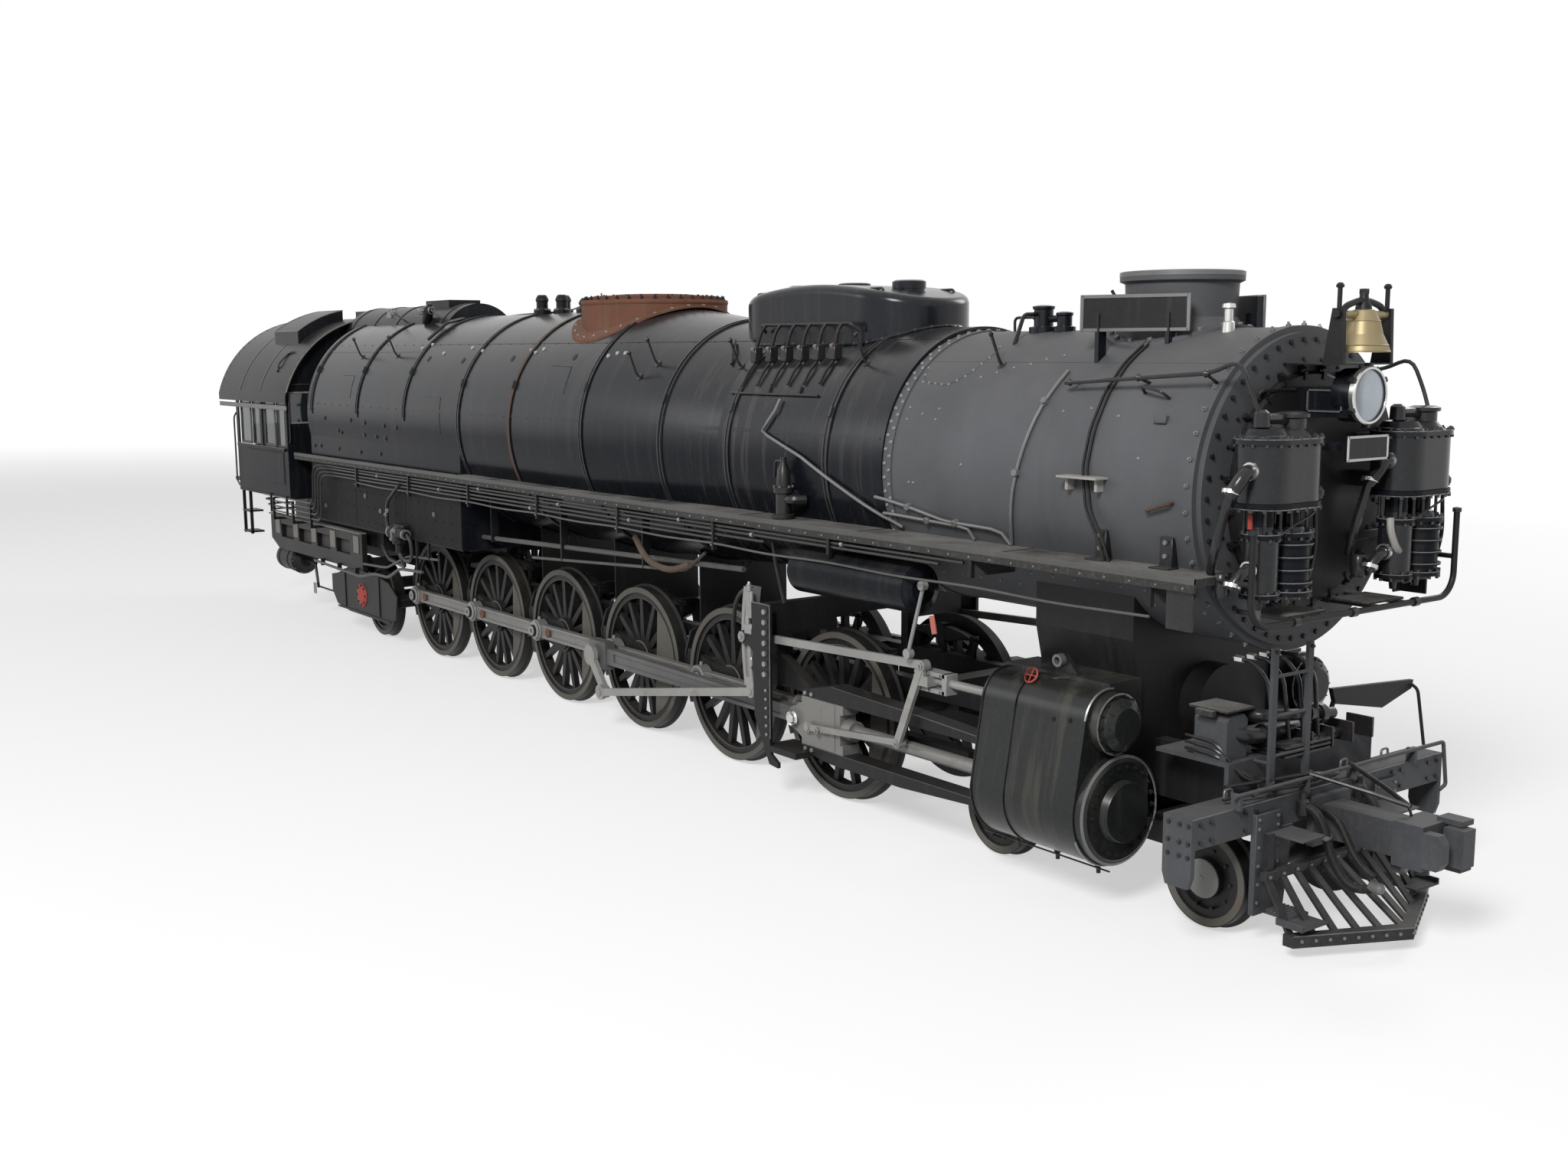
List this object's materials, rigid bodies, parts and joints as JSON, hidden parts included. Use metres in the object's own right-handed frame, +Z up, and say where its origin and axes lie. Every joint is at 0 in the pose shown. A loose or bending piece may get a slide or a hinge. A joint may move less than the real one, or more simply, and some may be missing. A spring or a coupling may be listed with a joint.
{
  "type": "steam locomotive",
  "caption": "Large three-cylinder steam locomotive with a long boiler, six coupled driving axles, a leading and a trailing truck, and a cab.",
  "frame": {"origin": "middle of the engine's bounding box, on the plane that the wheel flanges stand on", "axes": "+X forward (smokebox end), +Y to the engine's left, +Z up"},
  "size_m": [22.53, 3.22, 5.14],
  "materials": {
    "graphite": "matt graphite grey",
    "jacket_black": "glossy black, dusty",
    "frame_black": "dull black",
    "wheel_black": "dull black",
    "rod_steel": "light grey paint with some rust",
    "rust_steel": "rusty",
    "bell_brass": "dull brass"
  },
  "bodies": {
    "engine": {"main_frame": "frame_black", "cylinder_saddle": "frame_black", "outside_cylinders": "jacket_black", "guides_and_yoke": "frame_black", "crossheads": "rod_steel", "main_rods": "rod_steel", "valve_gear_right": "rod_steel", "valve_gear_left": "rod_steel", "smokebox": "graphite", "smokebox_front": "graphite", "boiler": "jacket_black", "firebox": "jacket_black", "ash_pan": "frame_black", "stack": "graphite", "sand_box": "jacket_black", "steam_dome": "rust_steel", "turret": "jacket_black", "number_boxes": "jacket_black", "running_boards": "frame_black", "cab_roof": "jacket_black", "cab_sides": "jacket_black", "cab_front": "jacket_black", "cab_floor": "frame_black", "pilot_beam": "frame_black", "pilot": "frame_black", "coupler": "frame_black", "air_pumps": "jacket_black", "pump_guard": "frame_black", "headlamp": "jacket_black", "bell_stand": "frame_black", "air_reservoirs": "jacket_black"},
    "bell": {"bell": "bell_brass"},
    "knuckle": {"coupler_knuckle": "frame_black"},
    "coupling_right": {"coupling_rods_right": "rod_steel"},
    "coupling_left": {"coupling_rods_left": "rod_steel"},
    "leading_truck": {"leading_truck": "frame_black"},
    "leading_wheels_front": {"leading_axle_front": "wheel_black"},
    "leading_wheels_rear": {"leading_axle_rear": "wheel_black"},
    "trailing_truck": {"trailing_truck": "frame_black"},
    "trailing_wheels": {"trailing_axle": "wheel_black"},
    "drivers_1": {"driver_axle_1": "wheel_black"},
    "drivers_2": {"driver_axle_2": "wheel_black"},
    "drivers_3": {"driver_axle_3": "wheel_black"},
    "drivers_4": {"driver_axle_4": "wheel_black"},
    "drivers_5": {"driver_axle_5": "wheel_black"},
    "drivers_6": {"driver_axle_6": "wheel_black"}
  },
  "joints": [
    {"name": "drivers_1_turn", "type": "hinge", "parent": "engine", "child": "drivers_1", "pos_m": [5.211, 0, 0.8555], "axis": [0, 1, 0], "continuous": true},
    {"name": "drivers_2_turn", "type": "hinge", "parent": "engine", "child": "drivers_2", "pos_m": [3.342, 0, 0.8555], "axis": [0, 1, 0], "continuous": true},
    {"name": "drivers_3_turn", "type": "hinge", "parent": "engine", "child": "drivers_3", "pos_m": [1.473, 0, 0.8555], "axis": [0, 1, 0], "continuous": true},
    {"name": "drivers_4_turn", "type": "hinge", "parent": "engine", "child": "drivers_4", "pos_m": [-0.396, 0, 0.8555], "axis": [0, 1, 0], "continuous": true},
    {"name": "drivers_5_turn", "type": "hinge", "parent": "engine", "child": "drivers_5", "pos_m": [-2.265, 0, 0.8555], "axis": [0, 1, 0], "continuous": true},
    {"name": "drivers_6_turn", "type": "hinge", "parent": "engine", "child": "drivers_6", "pos_m": [-4.134, 0, 0.8555], "axis": [0, 1, 0], "continuous": true},
    {"name": "coupling_right_pin", "type": "hinge", "parent": "drivers_3", "child": "coupling_right", "pos_m": [1.06767, -0.945, 0.87887], "axis": [0, 1, 0], "continuous": true},
    {"name": "coupling_left_pin", "type": "hinge", "parent": "drivers_3", "child": "coupling_left", "pos_m": [1.6959, 0.945, 1.19484], "axis": [0, 1, 0], "continuous": true},
    {"name": "leading_truck_swivel", "type": "hinge", "parent": "engine", "child": "leading_truck", "pos_m": [8.555, 0, 0.609], "axis": [0, 0, 1], "range_deg": [-3, 3]},
    {"name": "leading_front_turn", "type": "hinge", "parent": "leading_truck", "child": "leading_wheels_front", "pos_m": [9.675, 0, 0.409], "axis": [0, 1, 0], "continuous": true},
    {"name": "leading_rear_turn", "type": "hinge", "parent": "leading_truck", "child": "leading_wheels_rear", "pos_m": [7.435, 0, 0.409], "axis": [0, 1, 0], "continuous": true},
    {"name": "trailing_truck_swivel", "type": "hinge", "parent": "engine", "child": "trailing_truck", "pos_m": [-5.214, 0, 0.7795], "axis": [0, 0, 1], "range_deg": [-2, 2]},
    {"name": "trailing_turn", "type": "hinge", "parent": "trailing_truck", "child": "trailing_wheels", "pos_m": [-6.264, 0, 0.5995], "axis": [0, 1, 0], "continuous": true},
    {"name": "bell_swing", "type": "hinge", "parent": "engine", "child": "bell", "pos_m": [10.265, 0, 4.64], "axis": [0, 1, 0], "range_deg": [-35, 35]},
    {"name": "knuckle_swing", "type": "hinge", "parent": "engine", "child": "knuckle", "pos_m": [11.145, 0.15, 0.86], "axis": [0, 0, 1], "range_deg": [0, 35]}
  ],
  "couplings": [
    {"joint": "drivers_1_turn", "follows": "drivers_3_turn", "ratio": 1},
    {"joint": "drivers_2_turn", "follows": "drivers_3_turn", "ratio": 1},
    {"joint": "drivers_4_turn", "follows": "drivers_3_turn", "ratio": 1},
    {"joint": "drivers_5_turn", "follows": "drivers_3_turn", "ratio": 1},
    {"joint": "drivers_6_turn", "follows": "drivers_3_turn", "ratio": 1},
    {"joint": "coupling_right_pin", "follows": "drivers_3_turn", "ratio": -1},
    {"joint": "coupling_left_pin", "follows": "drivers_3_turn", "ratio": -1}
  ]
}
